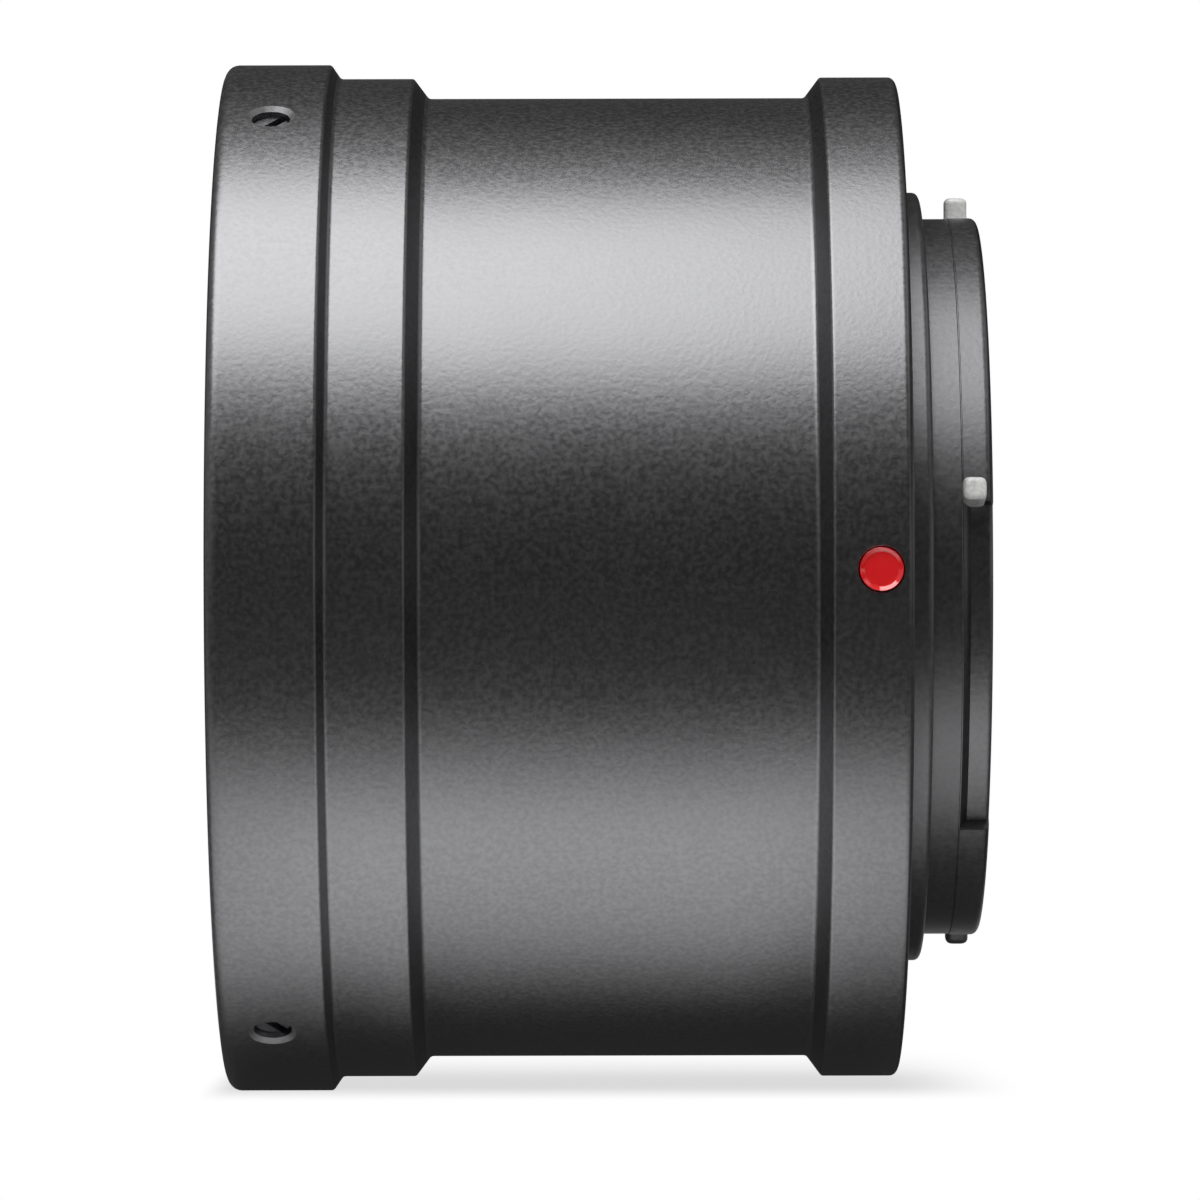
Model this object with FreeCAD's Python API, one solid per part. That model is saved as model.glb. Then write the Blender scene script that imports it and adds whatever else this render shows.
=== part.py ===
"""T-thread to camera bayonet adapter: a stepped aluminium barrel with a turning thread ring and a bayonet mount.

Units are millimetres. The optical axis is X, with the T thread at its start and the camera at its end, and Z is up.
Each station along X is counted from the T thread ring's front face. The finished nodes are then moved so that the
origin is on the axis in the plane of the camera seat. Angles round the axis are in degrees, from the side that
faces -Y, where the index bead is, upwards towards +Z. Diameters are those of turned parts.
"""
import FreeCAD, Part
import math
import os

V = FreeCAD.Vector
AXIS = V(1, 0, 0)

# Register: the T thread's 55.00 less the camera's 19.25 is the distance from the thread ring's face to the seat
T_REGISTER = 55.00
CAMERA_REGISTER = 19.25
SEAT_X = T_REGISTER - CAMERA_REGISTER

# Barrel, outside
FRONT_RING_D = 55.1
SECOND_STEP_D = 53.6
MIDDLE_D = 51.46
REAR_RING_D = 53.66
BARREL_FACE_X = 0.02
FRONT_RING_END_X = 5.58
SECOND_STEP_X = 6.09
SECOND_STEP_END_X = 10.01
MIDDLE_X = 10.81
MIDDLE_END_X = 30.92
REAR_RING_X = 31.74
FRONT_ROUND = 0.65
SEAT_ROUND = 0.38
EDGE_ROUND = 0.20
FOOT_ROUND = 0.30

# Barrel, inside
RING_SEAT_D = 48.0
RING_SEAT_DEPTH = 6.58
SHOULDER_D = 43.2
SHOULDER_WIDTH = 1.6
BORE_D = 45.2
REAR_LAND_D = 41.6
REAR_LAND_X = 28.60
RIDGE_PITCH = 0.80
RIDGE_DEPTH = 0.30
RIDGE_MARGIN = 0.60
RIDGE_CREST_SHARE = 0.2

# T thread ring, M42 x 0.75
RING_CLEARANCE = 0.05
THREAD_MAJOR_D = 42.04
THREAD_CREST_D = 41.188
THREAD_PITCH = 0.75
THREAD_CREST_SHARE = 0.25
RING_BACK_GAP = 0.10
LEAD_CHAMFER = 0.55
RING_EDGE = 0.20
V_GROOVE_WIDTH = 2.60
V_GROOVE_DEPTH = 1.27

# Grub screws, M2 x 4, slotted, cone point
GRUB_X = 2.86
GRUB_ANGLES = {"grub_screw_upper": 60.0, "grub_screw_lower": -60.0, "grub_screw_back": 180.0}
GRUB_HOLE_D = 2.00
GRUB_D = 1.94
GRUB_ROOT_D = 1.56
GRUB_PITCH = 0.40
GRUB_LENGTH = 4.00
GRUB_RECESS = 0.57
GRUB_POINT_D = 0.40
GRUB_CREST_START = 0.4
GRUB_CREST_END = 0.6
GRUB_HEAD_LENGTH = 0.34
GRUB_HEAD_CHAMFER = 0.05
GRUB_SLOT_WIDTH = 0.50
GRUB_SLOT_DEPTH = 0.75
GRUB_SLOT_ANGLES = {"grub_screw_upper": 52.0, "grub_screw_lower": -52.0, "grub_screw_back": 78.0}
GRUB_MOUTH_CHAMFER = 0.24

# Bayonet mount
FLANGE_D = 49.6
FLANGE_CLEARANCE = 0.03
FLANGE_THICKNESS = 2.20
COLLAR_D = 41.3
COLLAR_LENGTH = 1.25
COLLAR_ROUND = 0.32
TUBE_D = 38.46
TUBE_BORE_D = 35.0
TUBE_END_X = 40.12
TUBE_END_ROUND = 0.36
TUBE_BORE_CHAMFER = 0.30
LUG_D = 38.54
LUG_X = 38.62
LUG_RISE_LENGTH = 0.10
LUG_GAP_D = 37.30
LUG_GAP_X = 38.66
LUG_GAP_SLOPE_LENGTH = 0.30
LUG_GAP_END_ROUND = 0.25
LUG_SPAN = 80.7
LUG_STARTS = {"lug_a": 10.7, "lug_b": -124.5, "lug_c": 125.0}
LOCK_HOLE_D = 2.00
LOCK_HOLE_DEPTH = 1.60
LOCK_HOLE_ANGLE = 100.0

# Countersunk screws, M2 x 5, that hold the bayonet mount
MOUNT_SCREW_ANGLES = [45.0, 135.0, 225.0, 315.0]
MOUNT_SCREW_CIRCLE_D = 45.5
MOUNT_SCREW_D = 1.94
MOUNT_SCREW_HEAD_D = 3.70
MOUNT_SCREW_HEAD_RIM = 0.12
MOUNT_SCREW_LENGTH = 5.00
MOUNT_SCREW_SINK = 0.06
MOUNT_SCREW_TIP = 0.25
MOUNT_SCREW_TAPPED_D = 2.00
MOUNT_SCREW_THROUGH_D = 2.20
MOUNT_SCREW_DRILL_SPARE = 0.40
CROSS_WIDTH = 0.42
CROSS_LENGTH = 1.90
CROSS_DEPTH = 0.62

# Steel studs pressed into the bayonet tube, each with its station and angle
STUD_PLACES = [(39.12, 12.1), (39.10, 90.0), (39.10, 165.0), (39.28, -102.9)]
STUD_D = 1.34
STUD_HOLE_D = 1.32
STUD_TIP_R = 20.37
STUD_ROOT_R = 17.90
STUD_TIP_ROUND = 0.35

# Index bead
BEAD_X = 34.07
BEAD_D = 2.20
BEAD_POCKET_D = 2.36
BEAD_PROUD = 0.16
BEAD_DISH = 0.10
BEAD_RIM = 0.28
BEAD_ROUND = 0.15
BEAD_INNER_ROUND = 0.10
BEAD_DEPTH = 1.00


def rounded_edges(corners):
    """Edges of a closed outline whose corners (x, r, round) are joined by straight lines and tangent arcs."""
    points = [V(x, r, 0) for x, r, _ in corners]
    count = len(corners)
    starts = []
    ends = []
    arcs = []
    for i in range(count):
        corner = points[i]
        radius = corners[i][2]
        to_last = (points[i - 1] - corner).normalize()
        to_next = (points[(i + 1) % count] - corner).normalize()
        half = to_last.getAngle(to_next) / 2
        reach = radius / math.tan(half) if radius else 0
        starts.append(corner + to_last * reach)
        ends.append(corner + to_next * reach)
        middle = corner
        if radius:
            inward = (to_last + to_next).normalize()
            middle = corner + inward * (radius / math.sin(half) - radius)
        arcs.append(middle)
    edges = []
    for i in range(count):
        if corners[i][2]:
            edges.append(Part.Arc(starts[i], arcs[i], ends[i]).toShape())
        edges.append(Part.LineSegment(ends[i], starts[(i + 1) % count]).toShape())
    return edges


def profile_face(corners):
    """Flat face through the X axis from an outline of (x, r) or (x, r, round) corners."""
    full = [corner if len(corner) == 3 else (*corner, 0) for corner in corners]
    return Part.Face(Part.Wire(Part.__sortEdges__(rounded_edges(full))))


def turned(corners):
    """Solid turned about the X axis from an outline of corners."""
    return profile_face(corners).revolve(V(0, 0, 0), AXIS, 360)


def sector(corners, start_angle, end_angle):
    """Part of such a turned solid, between two angles round the optical axis."""
    face = profile_face(corners)
    face.rotate(V(0, 0, 0), AXIS, 180 - start_angle)
    return face.revolve(V(0, 0, 0), AXIS, start_angle - end_angle)


def radial(shape, x, angle):
    """Moves a shape made along +X so that its X runs outwards from the optical axis at this station and angle."""
    placed = shape.copy()
    placed.rotate(V(0, 0, 0), V(0, 0, 1), -90)
    placed.rotate(V(0, 0, 0), AXIS, -angle)
    placed.translate(V(x, 0, 0))
    return placed


def around(shape, circle_d, angle):
    """Moves a shape made along X to a circle round the optical axis."""
    placed = shape.copy()
    placed.translate(V(0, -circle_d / 2, 0))
    placed.rotate(V(0, 0, 0), AXIS, -angle)
    return placed


def cylinder(diameter, start, end):
    """Plain cylinder along X between two stations."""
    return Part.makeCylinder(diameter / 2, end - start, V(start, 0, 0), AXIS)


def cone(start_d, end_d, start, end):
    """Cone along X between two stations."""
    return Part.makeCone(start_d / 2, end_d / 2, end - start, V(start, 0, 0), AXIS)


def v_teeth(start, end, pitch, outer_r, inner_r, crest_share):
    """Corners of V grooves cut into a bore, from one station to the next, with flat crests at the inner radius."""
    count = int((end - start) / pitch)
    first = (start + end - count * pitch) / 2
    crest = pitch * crest_share
    corners = []
    for i in range(count):
        x = first + i * pitch
        corners.append((x + crest / 2, inner_r))
        corners.append((x + pitch / 2, outer_r))
        corners.append((x + pitch - crest / 2, inner_r))
    return corners


# Barrel

def barrel_blank():
    """Turned barrel before its cross holes: stepped outside, ridged bore, and a seat for a ring at each end."""
    bore_r = BORE_D / 2
    shoulder_x = BARREL_FACE_X + RING_SEAT_DEPTH
    bore_x = shoulder_x + SHOULDER_WIDTH
    bore_slope_end = bore_x + (BORE_D - SHOULDER_D) / 2
    ridges = v_teeth(bore_slope_end + RIDGE_MARGIN, REAR_LAND_X - RIDGE_MARGIN, RIDGE_PITCH,
                     bore_r + RIDGE_DEPTH, bore_r, RIDGE_CREST_SHARE)
    flange_seat_x = SEAT_X - FLANGE_THICKNESS
    outside = [
        (BARREL_FACE_X, RING_SEAT_D / 2),
        (BARREL_FACE_X, FRONT_RING_D / 2, FRONT_ROUND),
        (FRONT_RING_END_X, FRONT_RING_D / 2, EDGE_ROUND),
        (SECOND_STEP_X, SECOND_STEP_D / 2, FOOT_ROUND),
        (SECOND_STEP_END_X, SECOND_STEP_D / 2, EDGE_ROUND),
        (MIDDLE_X, MIDDLE_D / 2, FOOT_ROUND),
        (MIDDLE_END_X, MIDDLE_D / 2, FOOT_ROUND),
        (REAR_RING_X, REAR_RING_D / 2, EDGE_ROUND),
        (SEAT_X, REAR_RING_D / 2, SEAT_ROUND),
        (SEAT_X, FLANGE_D / 2 + FLANGE_CLEARANCE),
    ]
    inside = [
        (flange_seat_x, FLANGE_D / 2 + FLANGE_CLEARANCE),
        (flange_seat_x, REAR_LAND_D / 2),
        (REAR_LAND_X, REAR_LAND_D / 2),
        (REAR_LAND_X, bore_r),
        *reversed(ridges),
        (bore_slope_end, bore_r),
        (bore_x, SHOULDER_D / 2),
        (shoulder_x, SHOULDER_D / 2),
        (shoulder_x, RING_SEAT_D / 2),
    ]
    return turned(outside + inside)


def grub_hole():
    """Cross hole for a grub screw, along X from inside the ring seat, with a small chamfer at its mouth."""
    mouth_r = FRONT_RING_D / 2
    start = RING_SEAT_D / 2 - 1
    end = mouth_r + 1
    chamfer_start = mouth_r - GRUB_MOUTH_CHAMFER
    widening = 2 * (end - chamfer_start)
    return cylinder(GRUB_HOLE_D, start, end).fuse(cone(GRUB_HOLE_D, GRUB_HOLE_D + widening, chamfer_start, end))


def barrel():
    """Barrel with three grub screw holes, the bead's pocket and four tapped holes for the bayonet mount."""
    shape = barrel_blank()
    for angle in GRUB_ANGLES.values():
        shape = shape.cut(radial(grub_hole(), GRUB_X, angle))
    pocket = cylinder(BEAD_POCKET_D, REAR_RING_D / 2 - BEAD_DEPTH, REAR_RING_D / 2 + 1)
    shape = shape.cut(radial(pocket, BEAD_X, 0))
    tapped_end = SEAT_X - MOUNT_SCREW_SINK - MOUNT_SCREW_LENGTH - MOUNT_SCREW_DRILL_SPARE
    tapped = cylinder(MOUNT_SCREW_TAPPED_D, tapped_end, SEAT_X)
    for angle in MOUNT_SCREW_ANGLES:
        shape = shape.cut(around(tapped, MOUNT_SCREW_CIRCLE_D, angle))
    return shape


# T thread ring

def t_thread_ring():
    """Turning ring: M42 x 0.75 thread inside, drawn as even grooves, and a V groove outside for the grub screws."""
    outer_r = RING_SEAT_D / 2 - RING_CLEARANCE
    crest_r = THREAD_CREST_D / 2
    root_r = THREAD_MAJOR_D / 2
    end_x = BARREL_FACE_X + RING_SEAT_DEPTH - RING_BACK_GAP
    thread = v_teeth(LEAD_CHAMFER, end_x - LEAD_CHAMFER, THREAD_PITCH, root_r, crest_r, THREAD_CREST_SHARE)
    outside = [
        (0, crest_r + LEAD_CHAMFER),
        (0, outer_r - RING_EDGE),
        (RING_EDGE, outer_r),
        (GRUB_X - V_GROOVE_WIDTH / 2, outer_r),
        (GRUB_X, outer_r - V_GROOVE_DEPTH),
        (GRUB_X + V_GROOVE_WIDTH / 2, outer_r),
        (end_x - RING_EDGE, outer_r),
        (end_x, outer_r - RING_EDGE),
        (end_x, crest_r + LEAD_CHAMFER),
    ]
    inside = [
        (end_x - LEAD_CHAMFER, crest_r),
        *reversed(thread),
        (LEAD_CHAMFER, crest_r),
    ]
    return turned(outside + inside)


# Grub screws

def grub_screw(slot_angle):
    """Slotted grub screw along X, its cone point inwards and its thread drawn as even grooves."""
    top = FRONT_RING_D / 2 - GRUB_RECESS
    tip = top - GRUB_LENGTH
    crest_r = GRUB_D / 2
    root_r = GRUB_ROOT_D / 2
    cone_end = tip + root_r - GRUB_POINT_D / 2
    corners = [(tip, 0), (tip, GRUB_POINT_D / 2), (cone_end, root_r)]
    head = top - GRUB_HEAD_LENGTH
    turns = int((head - cone_end) / GRUB_PITCH)
    first = head - turns * GRUB_PITCH
    for i in range(turns):
        x = first + i * GRUB_PITCH
        corners += [(x, root_r), (x + GRUB_PITCH * GRUB_CREST_START, crest_r),
                    (x + GRUB_PITCH * GRUB_CREST_END, crest_r)]
    corners += [(head, root_r), (head + GRUB_PITCH * GRUB_CREST_START, crest_r),
                (top - GRUB_HEAD_CHAMFER, crest_r), (top, crest_r - GRUB_HEAD_CHAMFER), (top, 0)]
    blank = turned(corners)
    slot = Part.makeBox(GRUB_SLOT_DEPTH + 1, 2 * GRUB_D, GRUB_SLOT_WIDTH,
                        V(top - GRUB_SLOT_DEPTH, -GRUB_D, -GRUB_SLOT_WIDTH / 2))
    slot.rotate(V(0, 0, 0), AXIS, slot_angle)
    return blank.cut(slot)


# Bayonet mount

def lug_gaps():
    """What is cut away between the lugs, from the end of one to the start of the next, with a slope at its front."""
    gap_r = LUG_GAP_D / 2
    slope = LUG_GAP_SLOPE_LENGTH / (TUBE_D / 2 - gap_r)
    above = 1.0
    corners = [
        (LUG_GAP_X + LUG_GAP_SLOPE_LENGTH, gap_r),
        (TUBE_END_X, gap_r, LUG_GAP_END_ROUND),
        (TUBE_END_X, gap_r - 2 * LUG_GAP_END_ROUND),
        (TUBE_END_X + above, gap_r - 2 * LUG_GAP_END_ROUND),
        (TUBE_END_X + above, TUBE_D / 2 + above),
        (LUG_GAP_X - above * slope, TUBE_D / 2 + above),
    ]
    starts = sorted(LUG_STARTS.values())
    gaps = []
    for i, start in enumerate(starts):
        next_start = starts[(i + 1) % len(starts)] + (360 if i + 1 == len(starts) else 0)
        gaps.append(sector(corners, start + LUG_SPAN, next_start))
    return gaps


def mount_screw_hole():
    """Clearance hole with a countersink through the bayonet mount's flange, along X."""
    head_depth = (MOUNT_SCREW_HEAD_D - MOUNT_SCREW_THROUGH_D) / 2 + MOUNT_SCREW_HEAD_RIM + MOUNT_SCREW_SINK
    start = SEAT_X - head_depth
    wide = MOUNT_SCREW_THROUGH_D + 2 * (head_depth + 1)
    through = cylinder(MOUNT_SCREW_THROUGH_D, SEAT_X - FLANGE_THICKNESS - 1, SEAT_X + 1)
    sink = cone(MOUNT_SCREW_THROUGH_D, wide, start, SEAT_X + 1)
    return through.fuse(sink.common(cylinder(MOUNT_SCREW_HEAD_D + 2 * MOUNT_SCREW_SINK, start, SEAT_X + 1)))


def bayonet_mount():
    """Bayonet mount: sunk flange, collar, tube with three lugs, stud holes, screw holes and a lock pin hole."""
    flange_x = SEAT_X - FLANGE_THICKNESS
    bore_r = TUBE_BORE_D / 2
    collar_end = SEAT_X + COLLAR_LENGTH
    shape = turned([
        (flange_x, bore_r),
        (flange_x, FLANGE_D / 2),
        (SEAT_X, FLANGE_D / 2),
        (SEAT_X, COLLAR_D / 2),
        (collar_end, COLLAR_D / 2, COLLAR_ROUND),
        (collar_end, TUBE_D / 2),
        (LUG_X - LUG_RISE_LENGTH, TUBE_D / 2),
        (LUG_X, LUG_D / 2),
        (TUBE_END_X, LUG_D / 2, TUBE_END_ROUND),
        (TUBE_END_X, bore_r + TUBE_BORE_CHAMFER),
        (TUBE_END_X - TUBE_BORE_CHAMFER, bore_r),
    ])
    for gap in lug_gaps():
        shape = shape.cut(gap)
    stud_hole = cylinder(STUD_HOLE_D, STUD_ROOT_R, STUD_TIP_R)
    for x, angle in STUD_PLACES:
        shape = shape.cut(radial(stud_hole, x, angle))
    for angle in MOUNT_SCREW_ANGLES:
        shape = shape.cut(around(mount_screw_hole(), MOUNT_SCREW_CIRCLE_D, angle))
    lock_hole = cylinder(LOCK_HOLE_D, SEAT_X - LOCK_HOLE_DEPTH, SEAT_X + 1)
    return shape.cut(around(lock_hole, MOUNT_SCREW_CIRCLE_D, LOCK_HOLE_ANGLE))


def mount_screw():
    """Countersunk screw along X with a cross recess, its head just below the seat."""
    top = SEAT_X - MOUNT_SCREW_SINK
    tip = top - MOUNT_SCREW_LENGTH
    shank_r = MOUNT_SCREW_D / 2
    head_r = MOUNT_SCREW_HEAD_D / 2
    rim_x = top - MOUNT_SCREW_HEAD_RIM
    blank = turned([
        (tip, 0),
        (tip, shank_r - MOUNT_SCREW_TIP),
        (tip + MOUNT_SCREW_TIP, shank_r),
        (rim_x - (head_r - shank_r), shank_r),
        (rim_x, head_r),
        (top, head_r),
        (top, 0),
    ])
    bar = Part.makeBox(CROSS_DEPTH + 1, CROSS_LENGTH, CROSS_WIDTH,
                       V(top - CROSS_DEPTH, -CROSS_LENGTH / 2, -CROSS_WIDTH / 2))
    other_bar = bar.copy()
    other_bar.rotate(V(0, 0, 0), AXIS, 90)
    return blank.cut(bar).cut(other_bar)


def lug_stud():
    """Round steel stud along X with a rounded tip."""
    return turned([
        (STUD_ROOT_R, 0),
        (STUD_ROOT_R, STUD_D / 2),
        (STUD_TIP_R, STUD_D / 2, STUD_TIP_ROUND),
        (STUD_TIP_R, 0),
    ])


def index_bead():
    """Red bead along X with a raised rim round a shallow dish."""
    land_r = REAR_RING_D / 2
    top = land_r + BEAD_PROUD
    rim_r = BEAD_D / 2
    return turned([
        (land_r - BEAD_DEPTH, 0),
        (land_r - BEAD_DEPTH, rim_r),
        (top, rim_r, BEAD_ROUND),
        (top, rim_r - BEAD_RIM, BEAD_INNER_ROUND),
        (top - BEAD_DISH, rim_r - BEAD_RIM - BEAD_DISH),
        (top - BEAD_DISH, 0),
    ])


def build():
    """All nodes by name, moved so that the origin is at the camera seat."""
    nodes = {
        "barrel": barrel(),
        "t_thread_ring": t_thread_ring(),
        "bayonet_mount": bayonet_mount(),
        "index_bead": radial(index_bead(), BEAD_X, 0),
    }
    for name, angle in GRUB_ANGLES.items():
        nodes[name] = radial(grub_screw(GRUB_SLOT_ANGLES[name]), GRUB_X, angle)
    for i, angle in enumerate(MOUNT_SCREW_ANGLES):
        nodes[f"mount_screw_{i + 1}"] = around(mount_screw(), MOUNT_SCREW_CIRCLE_D, angle)
    for i, (x, angle) in enumerate(STUD_PLACES):
        nodes[f"lug_stud_{i + 1}"] = radial(lug_stud(), x, angle)
    for shape in nodes.values():
        shape.translate(V(-SEAT_X, 0, 0))
    return nodes


os.makedirs("parts", exist_ok=True)
for node, shape in build().items():
    solid = shape.Solids[0]
    print(f"{node:18s} solids {len(shape.Solids)} valid {solid.isValid()} volume {solid.Volume:9.2f}")
    solid.exportStep(f"parts/{node}.step")
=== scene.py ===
"""Looks of the T-mount adapter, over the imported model: fine turned surfaces and their finishes, the light
and the camera.

Lengths are in millimetres and become metres where a mesh is made. The optical axis is X. Stations along it
are counted from the thread ring's front face, and a mesh is moved so that the origin is in the plane of the
camera seat. Angles round the axis run from the -Y side upwards to +Z, in degrees.
"""
import bpy
import math
import numpy as np
from mathutils import Matrix, Vector


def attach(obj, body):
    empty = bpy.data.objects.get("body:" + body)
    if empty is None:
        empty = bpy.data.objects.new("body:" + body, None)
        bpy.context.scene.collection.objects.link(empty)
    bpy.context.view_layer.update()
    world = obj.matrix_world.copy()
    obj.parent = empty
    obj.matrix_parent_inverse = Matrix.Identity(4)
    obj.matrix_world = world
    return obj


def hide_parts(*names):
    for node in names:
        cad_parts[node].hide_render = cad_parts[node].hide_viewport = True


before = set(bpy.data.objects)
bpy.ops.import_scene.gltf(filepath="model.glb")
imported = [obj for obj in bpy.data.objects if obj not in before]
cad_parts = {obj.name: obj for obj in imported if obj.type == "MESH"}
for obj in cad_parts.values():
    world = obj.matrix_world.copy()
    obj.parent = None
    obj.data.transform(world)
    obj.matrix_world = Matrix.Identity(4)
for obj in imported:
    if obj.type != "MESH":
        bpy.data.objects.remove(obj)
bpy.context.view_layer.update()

MM = 0.001
SEAT_X = 35.75
ARC_STEPS = 6
GUARD = 0.05
GUARD_SHARE = 0.2
WINDOW_SHARES = (0.3, 0.6, 0.85)
SHARP_DEGREES = 32


# Shapes

def outline(corners):
    """Points (x, r) of a turned profile through (x, r, round) corners.

    A round corner is the arc that touches both of its runs: a point of it is the arc's centre plus the
    round's two end spokes, mixed by sin((1 - t) sweep) and sin(t sweep) over sin(sweep). A guard point
    follows each end of an arc, so that the flat beside it is shaded flat.
    """
    spots = [np.array(corner[:2], float) for corner in corners]
    rounds = [corner[2] if len(corner) > 2 else 0 for corner in corners]
    points = []
    for i, spot in enumerate(spots):
        if not rounds[i]:
            points.append(spot[None])
            continue
        back = spots[i - 1] - spot
        ahead = spots[(i + 1) % len(spots)] - spot
        back_run = np.linalg.norm(back)
        ahead_run = np.linalg.norm(ahead)
        back = back / back_run
        ahead = ahead / ahead_run
        half = math.acos(np.clip(back @ ahead, -1, 1)) / 2
        reach = rounds[i] / math.tan(half)
        centre = spot + (back + ahead) / np.linalg.norm(back + ahead) * rounds[i] / math.sin(half)
        sweep = math.pi - 2 * half
        t = np.linspace(0, 1, ARC_STEPS + 1)[:, None]
        first = spot + back * reach - centre
        last = spot + ahead * reach - centre
        arc = centre + (np.sin((1 - t) * sweep) * first + np.sin(t * sweep) * last) / math.sin(sweep)
        before = spot + back * (reach + min(GUARD, GUARD_SHARE * back_run))
        after = spot + ahead * (reach + min(GUARD, GUARD_SHARE * ahead_run))
        points += [before[None], arc, after[None]]
    return np.concatenate(points)


def run(start, end, fixed, count, along_x=True):
    """Evenly spaced sharp corners on a straight run, for the rows that a pocket's window needs."""
    steps = np.linspace(start, end, count)
    return [(s, fixed) if along_x else (fixed, s) for s in steps]


def carried_round(profile, angles, closed=True):
    """Vertices (x, -r cos a, r sin a) of a profile carried round the axis, and the faces between them.

    The profile is an array of (x, r), or one such array for each angle. An open profile starts and ends on
    the axis, and its ends are closed with a fan of triangles. The third result is the grid's size, as its
    rows and columns.
    """
    a = np.radians(angles)
    if profile.ndim == 2:
        profile = np.repeat(profile[:, None], len(a), axis=1)
    ends = profile[[0, -1], 0]
    if not closed:
        profile = profile[1:-1]
    rows, columns = profile.shape[:2]
    x, r = profile[..., 0], profile[..., 1]
    verts = np.stack([x, -r * np.cos(a), r * np.sin(a)], axis=-1).reshape(-1, 3)
    i, j = np.meshgrid(np.arange(rows if closed else rows - 1), np.arange(columns), indexing="ij")
    below = (i + 1) % rows
    beside = (j + 1) % columns
    quads = [i * columns + j, i * columns + beside, below * columns + beside, below * columns + j]
    faces = np.stack(quads, -1).reshape(-1, 4).tolist()
    if not closed:
        ring = np.arange(columns)
        beside = (ring + 1) % columns
        last = (rows - 1) * columns
        first_pole = len(verts)
        poles = np.array([[x_end, 0, 0] for x_end in ends[:, 0]])
        verts = np.concatenate([verts, poles])
        faces += np.stack([np.full(columns, first_pole), beside, ring], -1).tolist()
        faces += np.stack([last + ring, last + beside, np.full(columns, first_pole + 1)], -1).tolist()
    return verts, faces, (rows, columns)


def pocket(verts, faces, size, window, centre, out, steps, surface_r=None):
    """Sinks a round pocket into a grid that was carried round the axis.

    The faces between two rows and two columns go, and None takes their places, so that the numbers of the
    grid's other faces hold for more pockets. Rings of points then lead from that window's border to the
    pocket's mouth, through steps of (radius, depth) and to the middle of its floor. A ring's point is
    centre + radius (cos b, sin b) across `out`, with b the angle of the border's point, and depth below the
    surface, which is a cylinder of surface_r round the optical axis or, without one, a plane.
    """
    top, bottom, left, right = window
    columns = size[1]
    wide, tall = right - left, bottom - top
    row = np.concatenate([np.full(wide, top), np.arange(top, bottom),
                          np.full(wide, bottom), np.arange(bottom, top, -1)])
    column = np.concatenate([np.arange(left, right), np.full(tall, right),
                             np.arange(right, left, -1), np.full(tall, left)]) % columns
    border = row * columns + column
    gone = {i * columns + j % columns for i in range(top, bottom) for j in range(left, right)}
    faces = [None if k in gone else face for k, face in enumerate(faces)]
    out = np.array(out, float)
    first = np.array([1.0, 0, 0]) if surface_r else np.array([0, 0, 1.0])
    second = np.cross(out, first)
    offset = verts[border] - centre
    u, v = offset @ first, offset @ second
    turn = np.arctan2(v, u)
    reach = np.hypot(u, v)
    mouth = steps[0][0]
    rings = [(reach + (mouth - reach) * share, 0) for share in WINDOW_SHARES]
    rings += [(np.full(len(border), radius), depth) for radius, depth in steps]
    previous = border
    count = len(border)
    for radius, depth in rings:
        u, v = radius * np.cos(turn), radius * np.sin(turn)
        height = np.sqrt(surface_r ** 2 - v ** 2) if surface_r else np.zeros(count)
        points = centre + np.outer(u, first) + np.outer(v, second) + np.outer(height - depth, out)
        ring = len(verts) + np.arange(count)
        verts = np.concatenate([verts, points])
        faces += np.stack([previous, np.roll(previous, -1), np.roll(ring, -1), ring], -1).tolist()
        previous = ring
    floor = centre + ((surface_r or 0) - steps[-1][1]) * out
    faces += np.stack([previous, np.roll(previous, -1), np.full(count, len(verts))], -1).tolist()
    return np.concatenate([verts, floor[None]]), faces


def rows_between(profile, start, end, tolerance=1e-6):
    """First and last row of a profile's run between two (x, r) points that are rows of it."""
    found = []
    for point in (start, end):
        gaps = np.linalg.norm(profile - point, axis=1)
        found.append(int(np.argmin(gaps)))
        assert gaps.min() < tolerance
    return found


def outward(angle):
    """Unit vector away from the optical axis at this angle."""
    a = math.radians(angle)
    return np.array([0, -math.cos(a), math.sin(a)])


def stood_out(verts, x, angle):
    """Moves vertices made round +X so that their X runs away from the optical axis at this place."""
    a = math.radians(angle)
    aside = np.array([0, math.sin(a), math.cos(a)])
    return (np.array([x, 0, 0]) + np.outer(verts[:, 0], outward(angle))
            + np.outer(verts[:, 1], [1.0, 0, 0]) + np.outer(verts[:, 2], aside))


def placed(name, data):
    """New object in the scene with this data."""
    made = bpy.data.objects.new(name, data)
    bpy.context.scene.collection.objects.link(made)
    return made


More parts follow.
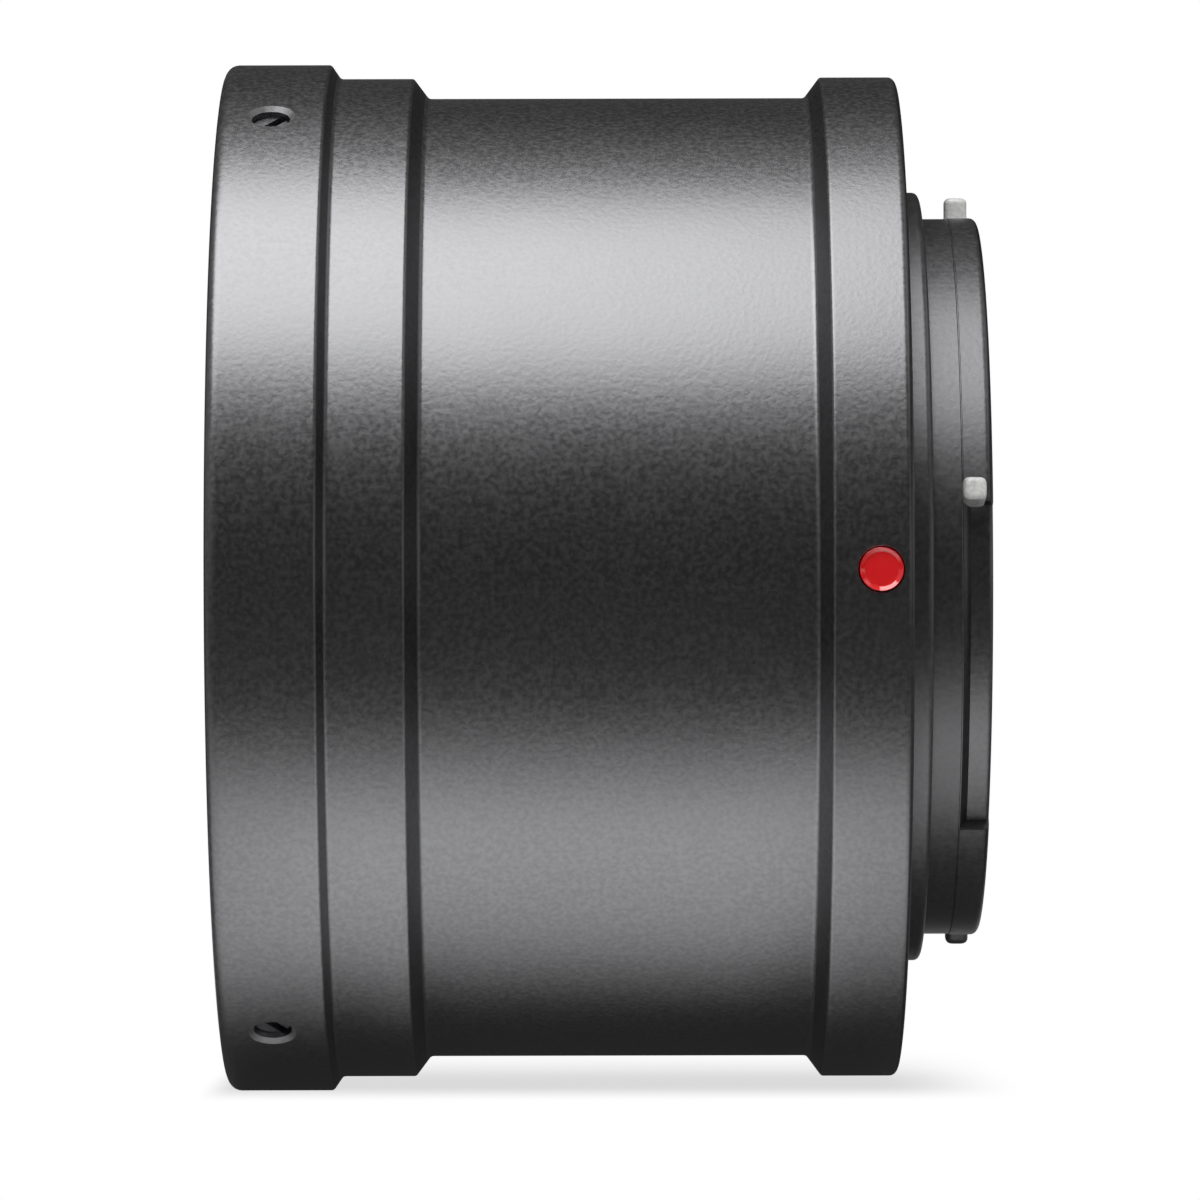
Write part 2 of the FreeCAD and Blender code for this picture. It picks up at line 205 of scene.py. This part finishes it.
def piece(name, verts, faces, body, nodes, slot, material, *others):
    """Makes a mesh that stands for these CAD nodes.

    Its faces are turned outwards if its signed volume is negative. Each of the others is a material and a
    rule. A face gets that material where the rule is true of its middle's station along the axis and
    distance from it.
    """
    volume = 0
    for corners in (3, 4):
        group = np.array([face for face in faces if len(face) == corners])
        if len(group):
            for k in range(1, corners - 1):
                a, b, c = verts[group[:, 0]], verts[group[:, k]], verts[group[:, k + 1]]
                volume += np.einsum("ij,ij->i", a, np.cross(b, c)).sum()
    if volume < 0:
        faces = [face[::-1] for face in faces]
    mesh = bpy.data.meshes.new(name)
    mesh.from_pydata(((verts - [SEAT_X, 0, 0]) * MM).tolist(), [], faces)
    mesh.polygons.foreach_set("use_smooth", np.ones(len(faces), bool))
    mesh.set_sharp_from_angle(angle=math.radians(SHARP_DEGREES))
    mesh.materials.append(material)
    if others:
        middles = np.array([verts[face].mean(axis=0) for face in faces])
        chosen = np.zeros(len(faces), np.int32)
        for number, (other, rule) in enumerate(others, 1):
            mesh.materials.append(other)
            chosen[rule(middles[:, 0], np.hypot(middles[:, 1], middles[:, 2]))] = number
        mesh.polygons.foreach_set("material_index", chosen)
    mesh.update()
    made = placed(name, mesh)
    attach(made, body)
    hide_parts(*nodes)
    return made


# Finishes

SMOOTH = "SMOOTHSTEP"


def linear(hex_colour):
    """sRGB hex colour as linear RGBA."""
    channels = [int(hex_colour[k:k + 2], 16) / 255 for k in (1, 3, 5)]
    return tuple(c / 12.92 if c <= 0.04045 else ((c + 0.055) / 1.055) ** 2.4 for c in channels) + (1.0,)


def add(tree, kind, inputs=None, **settings):
    """Adds a node. Settings are its properties. Inputs are values or outputs, by socket name or number."""
    made = tree.nodes.new(kind)
    for key, value in settings.items():
        setattr(made, key, value)
    for key, value in (inputs or {}).items():
        if isinstance(value, bpy.types.NodeSocket):
            tree.links.new(value, made.inputs[key])
        else:
            made.inputs[key].default_value = value
    return made


def noise(tree, place, cell_mm, detail):
    """Noise whose cells have about this size in millimetres."""
    inputs = {"Vector": place, "Scale": 1000 / cell_mm, "Detail": detail}
    return add(tree, "ShaderNodeTexNoise", inputs).outputs["Fac"]


def ramp(tree, value, start, end, low=0.0, high=1.0, steps="LINEAR"):
    """Runs from low to high while the value runs from start to end, and is level beyond both."""
    inputs = {"Value": value, "From Min": start, "From Max": end, "To Min": low, "To Max": high}
    return add(tree, "ShaderNodeMapRange", inputs, interpolation_type=steps).outputs["Result"]


def reckoned(tree, operation, *values):
    """Result of one step of arithmetic."""
    return add(tree, "ShaderNodeMath", dict(enumerate(values)), operation=operation).outputs[0]


def mixed(tree, share, first, second):
    """The first number where the share is 0, the second where it is 1."""
    return add(tree, "ShaderNodeMix", {0: share, 2: first, 3: second}).outputs[0]


def mixed_colour(tree, share, first, second):
    """The first sRGB hex colour where the share is 0, the second where it is 1."""
    inputs = {0: share, 6: linear(first), 7: linear(second)}
    return add(tree, "ShaderNodeMix", inputs, data_type="RGBA").outputs[2]


def glowing(tree, strength):
    """White emission of this strength."""
    return add(tree, "ShaderNodeEmission", {"Color": (1, 1, 1, 1), "Strength": strength}).outputs[0]


def finish(name):
    """New material with its node tree, its Principled shader and an Object coordinate output."""
    material = bpy.data.materials.new(name)
    material.use_nodes = True
    tree = material.node_tree
    shader = tree.nodes["Principled BSDF"]
    place = add(tree, "ShaderNodeTexCoord").outputs["Object"]
    return material, tree, shader, place


GRAIN_RANGE = (0.3, 0.7)
GRAIN_TINT = 0.11
GRAIN_ROUGHNESS = 0.04
CLOUD_MM = 6.0
CLOUD_ROUGHNESS = 0.015


def grained_metal(name, hex_colour, roughness, grain_mm, grain_um, metallic=1.0):
    """Metal with an even grain, of this size in millimetres and height in micrometres, under soft clouds.

    The grain tilts the surface, and both ways it changes the tint by the share GRAIN_TINT and the roughness
    by GRAIN_ROUGHNESS. The clouds change the roughness by CLOUD_ROUGHNESS.
    """
    material, tree, shader, place = finish(name)
    grain = noise(tree, place, grain_mm, 1.0)
    cloud = noise(tree, place, CLOUD_MM, 2.0)
    speckle = ramp(tree, grain, *GRAIN_RANGE, 1 - GRAIN_TINT, 1 + GRAIN_TINT)
    tint = add(tree, "ShaderNodeVectorMath", {0: linear(hex_colour)[:3], 1: speckle}, operation="MULTIPLY")
    tree.links.new(tint.outputs[0], shader.inputs["Base Color"])
    slow = ramp(tree, cloud, 0.0, 1.0, roughness - CLOUD_ROUGHNESS, roughness + CLOUD_ROUGHNESS)
    fast = ramp(tree, grain, *GRAIN_RANGE, -GRAIN_ROUGHNESS, GRAIN_ROUGHNESS)
    tree.links.new(reckoned(tree, "ADD", slow, fast), shader.inputs["Roughness"])
    rise = add(tree, "ShaderNodeBump", {"Height": grain, "Strength": 1.0, "Distance": grain_um * 1e-6})
    tree.links.new(rise.outputs["Normal"], shader.inputs["Normal"])
    shader.inputs["Metallic"].default_value = metallic
    return material


# Bead-blasted and anodised aluminium: a soft grey sheen in broad bands, with a matt grain seen close up
blasted_black = grained_metal(
    "blasted_black_anodised", "#9a9a9c", roughness=0.36, grain_mm=0.27, grain_um=9.0)
# Turned and anodised aluminium: smoother, with tighter highlights. Its tint is darker than the blasted one as
# painted shade, on chamfers, bores, the walls of holes and the thread ring
turned_and_shaded = grained_metal(
    "turned_black_anodised", "#767678", roughness=0.33, grain_mm=0.25, grain_um=2.0)
# Satin anodised aluminium on the bayonet mount: an even dark grey, more matt than the other two
satin_black = grained_metal(
    "satin_black_anodised", "#949496", roughness=0.42, grain_mm=0.30, grain_um=9.0)
# Mouths of the grub screws' holes: a rougher edge, with a paler tint that is a painted highlight all round
# the rim
pale_highlight_paint = grained_metal(
    "blunt_edge_anodised", "#aeaeb0", roughness=0.50, grain_mm=0.25, grain_um=3.0)
# Black oxide on steel screws: a dull metal glint. On the stud below the camera's level it is painted shade
dark_oxide_and_shade = grained_metal(
    "black_oxide_steel", "#acacb0", roughness=0.38, grain_mm=0.25, grain_um=1.5)
# Sand-blasted stainless steel studs: pale and almost matt, so that they stand out white on the black mount
blasted_steel = grained_metal(
    "blasted_steel", "#f4f4f2", roughness=0.45, grain_mm=0.20, grain_um=0.8, metallic=0.15)


def red_enamel():
    """Gloss red enamel of the index bead: a deep red under a clear coat, which puts glints on its rim."""
    material, tree, shader, place = finish("gloss_red_enamel")
    tint = mixed_colour(tree, noise(tree, place, 0.5, 2.0), "#ee0610", "#f60a16")
    tree.links.new(tint, shader.inputs["Base Color"])
    shader.inputs["Specular IOR Level"].default_value = 0.0
    shader.inputs["Coat Weight"].default_value = 1.0
    shader.inputs["Coat IOR"].default_value = 2.4
    shader.inputs["Coat Roughness"].default_value = 0.11
    return material


enamel = red_enamel()

# Barrel: stepped outside with small rounds on its edges, ridged bore, a seat for a ring at each end.
# A hole is given as the angle of its middle, half the width of its window in columns of one degree, and its
# steps of (radius, depth)
FRONT_RING_R = 27.55
REAR_RING_R = 26.83
RIDGE_START, RIDGE_END, RIDGE_PITCH = 9.8, 28.0, 0.8
RIDGE_FOOT_R, RIDGE_TIP_R = 22.9, 22.6
RIDGE_SLOPE = 0.32
GRUB_X = 2.86
GRUB_ANGLES = (60, -60, 180)
GRUB_HALF = 4
GRUB_STEPS = ((1.24, 0), (1.00, 0.24), (1.00, 3.3))
BEAD_X = 34.07
BEAD_ANGLE = 0
BEAD_HALF = 3
BEAD_STEPS = ((1.21, 0), (1.18, 0.03), (1.18, 1.0))
RING_WINDOW = (1.10, 4.62)
BEAD_WINDOW = (32.60, 35.28)
CHAMFERS = ((5.66, 6.00), (10.09, 10.68), (31.05, 31.65))


def barrel():
    ridges = []
    for x in np.arange(RIDGE_END, RIDGE_START, -RIDGE_PITCH):
        groove = (x - RIDGE_SLOPE, RIDGE_FOOT_R)
        ridges += [(x, RIDGE_TIP_R), groove, (x - 2 * RIDGE_SLOPE, RIDGE_TIP_R)]
    corners = [
        (0.02, 24.0, 0.05),
        (0.02, FRONT_RING_R, 0.65),
        *run(*RING_WINDOW, FRONT_RING_R, 13),
        (5.58, FRONT_RING_R, 0.20),
        (6.09, 26.80, 0.30),
        (10.01, 26.80, 0.20),
        (10.81, 25.73, 0.30),
        (30.92, 25.73, 0.30),
        (31.74, REAR_RING_R, 0.20),
        *run(*BEAD_WINDOW, REAR_RING_R, 10),
        (SEAT_X, REAR_RING_R, 0.38),
        (SEAT_X, 24.83, 0.05),
        (33.55, 24.83),
        (33.55, 20.80, 0.05),
        (28.60, 20.80, 0.05),
        (28.60, RIDGE_TIP_R),
        *ridges,
        (9.20, RIDGE_TIP_R, 0.05),
        (8.20, 21.6, 0.05),
        (6.60, 21.6, 0.05),
        (6.60, 24.0),
    ]
    profile = outline(corners)
    verts, faces, size = carried_round(profile, np.arange(360))
    holes = [(angle, GRUB_HALF, GRUB_STEPS, GRUB_X, FRONT_RING_R, RING_WINDOW) for angle in GRUB_ANGLES]
    holes.append((BEAD_ANGLE, BEAD_HALF, BEAD_STEPS, BEAD_X, REAR_RING_R, BEAD_WINDOW))
    for angle, half, steps, x, r, (start, end) in holes:
        window = (*rows_between(profile, (start, r), (end, r)), angle - half, angle + half)
        verts, faces = pocket(verts, faces, size, window, np.array([x, 0, 0]), outward(angle), steps, r)
    return verts, [face for face in faces if face]


# The darker turned tint that these faces get is painted shade; the smoother finish is the cut's own
def cut_faces_and_shade(x, r):
    """True on the barrel's chamfers, ends, bores and the walls of its holes, all cut after the blasting."""
    chamfers = np.any([(x > start) & (x < end) for start, end in CHAMFERS], axis=0)
    ends = (x < 0.03) | (x > SEAT_X - 0.01)
    # Bores and the walls of holes lie below these radii: in the front ring, in the rear ring and between them
    skin_r = np.select([x < 5.3, x > 32.2], [FRONT_RING_R - 0.26, REAR_RING_R - 0.05], 24.9)
    return chamfers | ends | (r < skin_r)


# The paler tint on these mouths is a painted highlight
def mouths(x, r):
    """True on the chamfered mouths of the grub screw holes."""
    return (np.abs(x - GRUB_X) < 1.4) & (r > FRONT_RING_R - 0.26) & (r < FRONT_RING_R - 0.03)


verts, faces = barrel()
piece("barrel_turned", verts, faces, "body", ["barrel"], "anodised_barrel", blasted_black,
      (turned_and_shaded, cut_faces_and_shade), (pale_highlight_paint, mouths))

CREST_R = 20.594
THREAD_DEPTH = 0.426
THREAD_PITCH = 0.75
THREAD_LEAD = 0.55
THREAD_ROWS = 126
CREST_SHARE = 0.25
RING_END_X = 6.50


def thread_ring():
    """Thread ring: its bore is r = crest + depth times a flat-topped triangle wave of
    (x + pitch a / 360) / pitch, which is a right-hand M42 x 0.75 thread, opened by a 45 degree lead at each
    end."""
    outside = outline([(0, 21.6), (0, 23.95, 0.2), (RING_END_X, 23.95, 0.2), (RING_END_X, 21.6)])[1:-1]
    x = np.linspace(RING_END_X, 0, THREAD_ROWS)
    angles = np.arange(0, 360, 1.0)
    phase = (x[:, None] + THREAD_PITCH * angles[None] / 360) / THREAD_PITCH
    wave = np.abs(phase - np.floor(phase) - 0.5) * 2
    r = CREST_R + THREAD_DEPTH * np.clip((wave - CREST_SHARE) / (1 - CREST_SHARE), 0, 1)
    r = np.maximum(r, CREST_R + THREAD_LEAD - x[:, None])
    r = np.maximum(r, CREST_R + THREAD_LEAD - (RING_END_X - x[:, None]))
    bore = np.stack([np.repeat(x[:, None], len(angles), axis=1), r], axis=-1)
    shell = np.repeat(outside[:, None], len(angles), axis=1)
    return carried_round(np.concatenate([shell, bore]), angles)[:2]


verts, faces = thread_ring()
# The thread ring, set in the bore, has the darker turned tint as painted shade
piece("thread_ring_turned", verts, faces, "thread_ring", ["t_thread_ring"], "anodised_ring", turned_and_shaded)

# Bayonet mount. A wall is the slope at either end of a lug, and the window of a hole reaches HOLE_HALF
# degrees each way from the hole's middle
LUG_SPAN = 80.7
LUG_STARTS = (10.7, 125.0, 235.5)
HALF_WALL = 0.12
LUG_X = 38.96
TUBE_R = 19.23
LUG_R = 19.27
GAP_R = 18.65
TUBE_END_X = 40.12
SCREW_ANGLES = (45, 135, 225, 315)
SCREW_STEPS = ((1.91, 0), (1.91, 0.12), (1.10, 0.93), (1.10, 2.10))
LOCK_ANGLE = 100
LOCK_STEPS = ((1.04, 0), (1.0, 0.04), (1.0, 1.6))
HOLE_HALF = 6
SCREW_CIRCLE_R = 22.75
SCREW_WINDOW = (24.72, 20.72)


def bayonet_mount():
    """Bayonet mount: a profile carried round the axis. Its last part changes between a lug's and a gap's."""
    common = [
        (33.55, 17.50, 0.05),
        (33.55, 24.80, 0.10),
        (SEAT_X, 24.80, 0.04),
        *run(*SCREW_WINDOW, SEAT_X, 16, along_x=False),
        (SEAT_X, 20.65, 0.02),
        (37.00, 20.65, 0.32),
        (37.00, TUBE_R, 0.05),
        (38.50, TUBE_R),
        (38.54, 19.20),
        (38.58, 19.20),
    ]
    lug = [(38.60, LUG_R), (LUG_X, LUG_R), (TUBE_END_X, LUG_R, 0.36)]
    gap = [(38.65, 19.15), (LUG_X, GAP_R), (TUBE_END_X, GAP_R, 0.25)]
    end = [(TUBE_END_X, 17.80, 0.05), (39.82, 17.50, 0.05)]
    of_lug = outline(common + lug + end)
    of_gap = outline(common + gap + end)
    walls = [start + shift for start in LUG_STARTS for shift in (0, LUG_SPAN)]
    wall_edges = [[wall - HALF_WALL, wall + HALF_WALL] for wall in walls]
    angles = np.unique(np.concatenate([np.arange(360.0)] + wall_edges))
    share = np.zeros(len(angles))
    for start in LUG_STARTS:
        rising = np.clip((angles - start + HALF_WALL) / (2 * HALF_WALL), 0, 1)
        falling = np.clip((start + LUG_SPAN + HALF_WALL - angles) / (2 * HALF_WALL), 0, 1)
        share = np.maximum(share, rising * falling)
    profile = of_gap[:, None] + (of_lug - of_gap)[:, None] * share[None, :, None]
    verts, faces, size = carried_round(profile, angles)
    rows = rows_between(of_lug, *[(SEAT_X, r) for r in SCREW_WINDOW])
    for angle in (*SCREW_ANGLES, LOCK_ANGLE):
        steps = LOCK_STEPS if angle == LOCK_ANGLE else SCREW_STEPS
        left, right = np.searchsorted(angles, [angle - HOLE_HALF, angle + HOLE_HALF]).tolist()
        centre = np.array([SEAT_X, 0, 0]) + SCREW_CIRCLE_R * outward(angle)
        verts, faces = pocket(verts, faces, size, (*rows, left, right), centre, (1, 0, 0), steps)
    return verts, [face for face in faces if face]


def gap_floor(x, r):
    """True on the floor between the lugs, a later cut that came out paler than the tube."""
    return (x > LUG_X) & (x < TUBE_END_X - 0.07) & (r > GAP_R - 0.25) & (r < GAP_R + 0.15)


# These faces get the darker turned tint as painted shade, beside the lug walls and in the bore
def gap_shade_paint(x, r):
    """True on the slope in front of the gaps between the lugs, on their walls and in the mount's bore."""
    below_tube = r < 19.2
    slope = (x > 38.6) & (x < LUG_X) & below_tube
    wall = (x > LUG_X) & (r > GAP_R + 0.15) & below_tube
    return slope | wall | (r < 17.6)


verts, faces = bayonet_mount()
piece("bayonet_mount_turned", verts, faces, "body", ["bayonet_mount"], "anodised_mount", satin_black,
      (blasted_black, gap_floor), (turned_and_shaded, gap_shade_paint))

# Station and angle of each stud in the tube. The one below the camera's level gets the black oxide as painted
# shade, the others bright steel
STUDS = ((39.12, 12.1), (39.10, 90.0), (39.10, 165.0), (39.28, -102.9))
STUD_FOOT_R, STUD_TOP_R, STUD_HALF, STUD_ROUND = 17.9, 20.37, 0.61, 0.28
ROUND = np.arange(0, 360, 5.0)


def small_turned(corners):
    """A small part turned from an open profile that starts and ends on its own axis."""
    return carried_round(outline(corners), ROUND, closed=False)[:2]


def squared(verts):
    """Makes a round stud squarish: a point at angle b moves out by (cos^4 b + sin^4 b) ^ -1/4."""
    b = np.arctan2(verts[:, 2], verts[:, 1])
    factor = (np.cos(b) ** 4 + np.sin(b) ** 4) ** -0.25
    return np.column_stack([verts[:, 0], verts[:, 1] * factor, verts[:, 2] * factor])


for number, (x, angle) in enumerate(STUDS, 1):
    verts, faces = small_turned([(STUD_FOOT_R, 0), (STUD_FOOT_R, STUD_HALF),
                                 (STUD_TOP_R, STUD_HALF, STUD_ROUND), (STUD_TOP_R, 0)])
    verts = stood_out(squared(verts), x, angle)
    # The stud below level is given the dark steel as painted shade
    slot, steel = ("black_steel", dark_oxide_and_shade) if angle < 0 else ("bright_steel", blasted_steel)
    piece(f"lug_stud_{number}_steel", verts, faces, "body", [f"lug_stud_{number}"], slot, steel)

BEAD_FOOT = REAR_RING_R - 0.98
BEAD_TOP = REAR_RING_R + 0.16
DISH_FLOOR = BEAD_TOP - 0.19
BEAD_R = 1.10
DISH_R = 0.86
verts, faces = small_turned([(BEAD_FOOT, 0), (BEAD_FOOT, BEAD_R), (BEAD_TOP, BEAD_R, 0.02),
                             (DISH_FLOOR, DISH_R, 0.25), (DISH_FLOOR, 0)])
verts = stood_out(verts, BEAD_X, BEAD_ANGLE)
piece("index_bead_glossy", verts, faces, "body", ["index_bead"], "red_enamel", enamel)

for name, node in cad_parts.items():
    if name.startswith(("grub_screw", "mount_screw")):
        node.data.materials.clear()
        node.data.materials.append(dark_oxide_and_shade)


# Floor, light and camera

MIDDLE_X = -16
MIDDLE = Vector((MIDDLE_X, 0, 0)) * MM
FLOOR_Z = -FRONT_RING_R
FLOOR_HALF = 3000
# Bands on the floor, in mm from the origin: where a band starts, is full, is still full and ends
BOARD_X = (-95, -22, -4, 30)
# Between the end of the front band and the start of the back band the board stays dark: painted shade under
# the adapter
BOARD_FRONT_Y = (-58, -28, -20, -8)
BOARD_BACK_Y = (8, 22, 60, 110)
# Two painted glows on the board, seen only by rays other than the camera's: one in front, in the adapter's
# shadow, and one under it
GLOW_PAINT_X = (-39, -27, -9, 2)
GLOW_PAINT_Y = (-40, -27, -18, -8)
UNDERGLOW_PAINT_Y = (-16, -9, 20, 30)
SHADOW_X = (-37.6, -35.4, -1, 7.5)
SHADOW_Y = (-12, 3, 6, 45)
# The front bands bend towards the camera on both sides of the adapter's middle. From LEAN_FROM mm beside it
# and over the next LEAN_RANGE mm, they come nearer by LEAN mm for each mm
LEAN_FROM = 7
LEAN_RANGE = 7
LEAN = 0.25
DARK, PALE = "#343434", "#e6e6e6"
PALE_OUTSIDE = 0.2
SHADOW_SHARE = 0.3
GLOW_PAINT_STRENGTH = 0.28
UNDERGLOW_PAINT_RANGE = (0.02, 0.035)


def inside(tree, value, start, full, still_full, end):
    """1 between two edges, with a soft step up to the first and down from the second. Edges are in mm."""
    rise = ramp(tree, value, start * MM, full * MM, steps=SMOOTH)
    fall = ramp(tree, value, end * MM, still_full * MM, steps=SMOOTH)
    return reckoned(tree, "MULTIPLY", rise, fall)


def panel(name, corners, material):
    """Flat panel between four corners."""
    mesh = bpy.data.meshes.new(name)
    mesh.from_pydata([[c * MM for c in corner] for corner in corners], [], [(0, 1, 2, 3)])
    mesh.materials.append(material)
    return placed(name, mesh)


def floor():
    """White matt board under the adapter. The camera sees it white, apart from the shadow near the adapter.

    The metal mirrors it as a dark board with two pale bands, in front and behind, and with a faint glow.
    The dark strip between the bands, under the adapter, is painted shade, and the glow is painted light.
    """
    material, tree, shader, place = finish("white_matt_board")
    shader.inputs["Roughness"].default_value = 1.0
    shader.inputs["Specular IOR Level"].default_value = 0.0
    spot = add(tree, "ShaderNodeSeparateXYZ", {0: place}).outputs
    off_middle = reckoned(tree, "ABSOLUTE", reckoned(tree, "ADD", spot["X"], -MIDDLE.x))
    lean_full = LEAN_FROM + LEAN_RANGE
    lean = ramp(tree, off_middle, LEAN_FROM * MM, lean_full * MM, 0.0, LEAN * LEAN_RANGE * MM)
    leaned = reckoned(tree, "ADD", spot["Y"], lean)

    near = ramp(tree, inside(tree, spot["X"], *BOARD_X), 0.0, 1.0, PALE_OUTSIDE, 1.0)
    in_front = inside(tree, leaned, *BOARD_FRONT_Y)
    behind = inside(tree, spot["Y"], *BOARD_BACK_Y)
    bands = reckoned(tree, "ADD", in_front, behind)
    board_tone_and_shade = mixed_colour(tree, reckoned(tree, "MULTIPLY", near, bands), DARK, PALE)
    tree.links.new(board_tone_and_shade, shader.inputs["Base Color"])

    along = inside(tree, spot["X"], *SHADOW_X)
    across = inside(tree, spot["Y"], *SHADOW_Y)
    shadow = reckoned(tree, "MULTIPLY", along, across)
    share = reckoned(tree, "MULTIPLY", shadow, SHADOW_SHARE)
    by_camera = add(tree, "ShaderNodeMixShader", {0: share, 1: glowing(tree, 1.0), 2: shader.outputs[0]})

    # Painted light: the board glows in front of the adapter and under it, where its shadow falls
    glow_paint = reckoned(tree, "MULTIPLY", inside(tree, leaned, *GLOW_PAINT_Y), GLOW_PAINT_STRENGTH)
    glow_paint = reckoned(tree, "MULTIPLY", glow_paint, inside(tree, spot["X"], *GLOW_PAINT_X))
    under = ramp(tree, inside(tree, spot["Y"], *UNDERGLOW_PAINT_Y), 0.0, 1.0, *UNDERGLOW_PAINT_RANGE)
    glow = glowing(tree, reckoned(tree, "ADD", glow_paint, under))
    lifted = add(tree, "ShaderNodeAddShader", {0: shader.outputs[0], 1: glow})

    seen = add(tree, "ShaderNodeLightPath").outputs["Is Camera Ray"]
    by_ray = add(tree, "ShaderNodeMixShader", {0: seen, 1: lifted.outputs[0], 2: by_camera.outputs[0]})
    tree.links.new(by_ray.outputs[0], tree.nodes["Material Output"].inputs["Surface"])
    corners = [(-1, -1), (1, -1), (1, 1), (-1, 1)]
    board = panel("floor", [(x * FLOOR_HALF, y * FLOOR_HALF, FLOOR_Z) for x, y in corners], material)


# The world as metal mirrors it, by the direction that a ray goes in: ACROSS the optical axis, and along it a
# value at the thread's end and one at the camera's end, above level and below
ACROSS = 0.03
SIDE_FROM, SIDE_FULL = 0.35, 0.85
SIDE_ENDS = (-0.7, 0.7)
RAISED_SIDE = (0.18, 0.05)
LOW_SIDE = (0.16, 0.38)
LOW_SIDE_Z = (0.25, 0.05)
# Two soft glows above level: an axis, where a glow starts and is full along it and in Z, and its brightness
GLOWS = (("X", (0.5, 0.75), (0.4, 0.6), 0.4), ("Y", (0.65, 0.45), (0.5, 0.8), 0.12))
# The world as matt surfaces are lit by it: this bright, and in front from the first to the second value
MATT = 0.5
MATT_FRONT_Y = (-0.2, -0.5)
MATT_FRONT_Z = (0.6, 0.3)
MATT_FRONT = (0.5, 1.5)


def studio():
    """World that the camera sees white, that lights matt surfaces softly and that is dim when mirrored."""
    world = bpy.data.worlds.new("studio")
    bpy.context.scene.world = world
    world.use_nodes = True
    tree = world.node_tree
    tree.nodes.clear()
    direction = add(tree, "ShaderNodeTexCoord").outputs["Generated"]
    towards = add(tree, "ShaderNodeSeparateXYZ", {0: direction}).outputs

    aside = ramp(tree, reckoned(tree, "ABSOLUTE", towards["X"]), SIDE_FROM, SIDE_FULL, steps=SMOOTH)
    raised_side = ramp(tree, towards["X"], *SIDE_ENDS, *RAISED_SIDE)
    low_side = ramp(tree, towards["X"], *SIDE_ENDS, *LOW_SIDE)
    side = mixed(tree, ramp(tree, towards["Z"], *LOW_SIDE_Z, steps=SMOOTH), raised_side, low_side)
    mirrored = mixed(tree, aside, ACROSS, side)
    for axis, along, upwards, strength in GLOWS:
        glow = ramp(tree, towards[axis], *along, 0.0, strength, steps=SMOOTH)
        raised = ramp(tree, towards["Z"], *upwards, steps=SMOOTH)
        mirrored = reckoned(tree, "ADD", mirrored, reckoned(tree, "MULTIPLY", glow, raised))

    in_front = ramp(tree, towards["Z"], *MATT_FRONT_Z, *MATT_FRONT)
    matt = mixed(tree, ramp(tree, towards["Y"], *MATT_FRONT_Y), MATT, in_front)

    ray = add(tree, "ShaderNodeLightPath").outputs
    dim = mixed(tree, ray["Is Diffuse Ray"], mirrored, matt)
    level = mixed(tree, ray["Is Camera Ray"], dim, 1.0)
    sky = add(tree, "ShaderNodeBackground", {"Color": (1, 1, 1, 1), "Strength": level}).outputs[0]
    add(tree, "ShaderNodeOutputWorld", {"Surface": sky})


def softbox(name, aside, elevation, distance, wide, deep, radiance):
    """Rectangular lamp, level along the axis and tilted to face it. Elevation is from the front upwards."""
    e = math.radians(elevation)
    towards = Vector((0, -math.cos(e), math.sin(e)))
    light = bpy.data.lights.new(name, "AREA")
    light.shape = "RECTANGLE"
    light.size = wide * MM
    light.size_y = deep * MM
    light.energy = radiance * math.pi * wide * deep * MM * MM
    lamp = placed(name, light)
    lamp.location = MIDDLE + (towards * distance + Vector((aside, 0, 0))) * MM
    lamp.rotation_euler = towards.to_track_quat("Z", "Y").to_euler()
    lamp.visible_camera = False
    return lamp


CARD_Y = 500
CARD_HALF = 75
CARD_TOP_Z = 80


def backdrop():
    """White card behind the adapter, about as wide as the camera's view, which the metal's edges mirror."""
    material, tree, _, _ = finish("white_card")
    ray = add(tree, "ShaderNodeLightPath").outputs
    mirror = reckoned(tree, "MAXIMUM", ray["Is Glossy Ray"], ray["Is Transmission Ray"])
    seen = reckoned(tree, "MAXIMUM", mirror, ray["Is Camera Ray"])
    tree.links.new(glowing(tree, seen), tree.nodes["Material Output"].inputs["Surface"])
    left, right = MIDDLE_X - CARD_HALF, MIDDLE_X + CARD_HALF
    corners = [(left, FLOOR_Z), (right, FLOOR_Z), (right, CARD_TOP_Z), (left, CARD_TOP_Z)]
    card = panel("backdrop", [(x, CARD_Y, z) for x, z in corners], material)


# The camera's distance from the axis, its station, how far it is below level and turned in degrees, how far
# below the axis it aims, and its lens on a sensor of 36 mm
CAMERA_DISTANCE = 392.0
CAMERA_X = 19.92 - SEAT_X
CAMERA_BELOW = 0.8
CAMERA_ROLL = 0.132
CAMERA_AIM = 1.2265
LENS = 218.25
SENSOR_WIDTH = 36


def camera():
    """Camera at the photograph's place, in front of the adapter's middle and slightly below level."""
    e = math.radians(-CAMERA_BELOW)
    up = Vector((0, math.sin(e), math.cos(e)))
    eye = Vector((CAMERA_X, -CAMERA_DISTANCE * math.cos(e), CAMERA_DISTANCE * math.sin(e)))
    target = Vector((CAMERA_X, 0, 0)) - up * CAMERA_AIM
    data = bpy.data.cameras.new("camera")
    data.lens = LENS
    data.sensor_width = SENSOR_WIDTH
    data.clip_start = 0.01
    made = placed("camera", data)
    facing = (target - eye).to_track_quat("-Z", "Y").to_matrix().to_4x4()
    roll = Matrix.Rotation(math.radians(-CAMERA_ROLL), 4, "Z")
    made.matrix_world = Matrix.Translation(eye * MM) @ facing @ roll
    bpy.context.scene.camera = made


floor()
studio()
backdrop()
softbox("overhead_softbox", aside=-112, elevation=70.5, distance=300, wide=330, deep=300, radiance=2.27)
camera()
bpy.context.scene.view_settings.view_transform = "Standard"
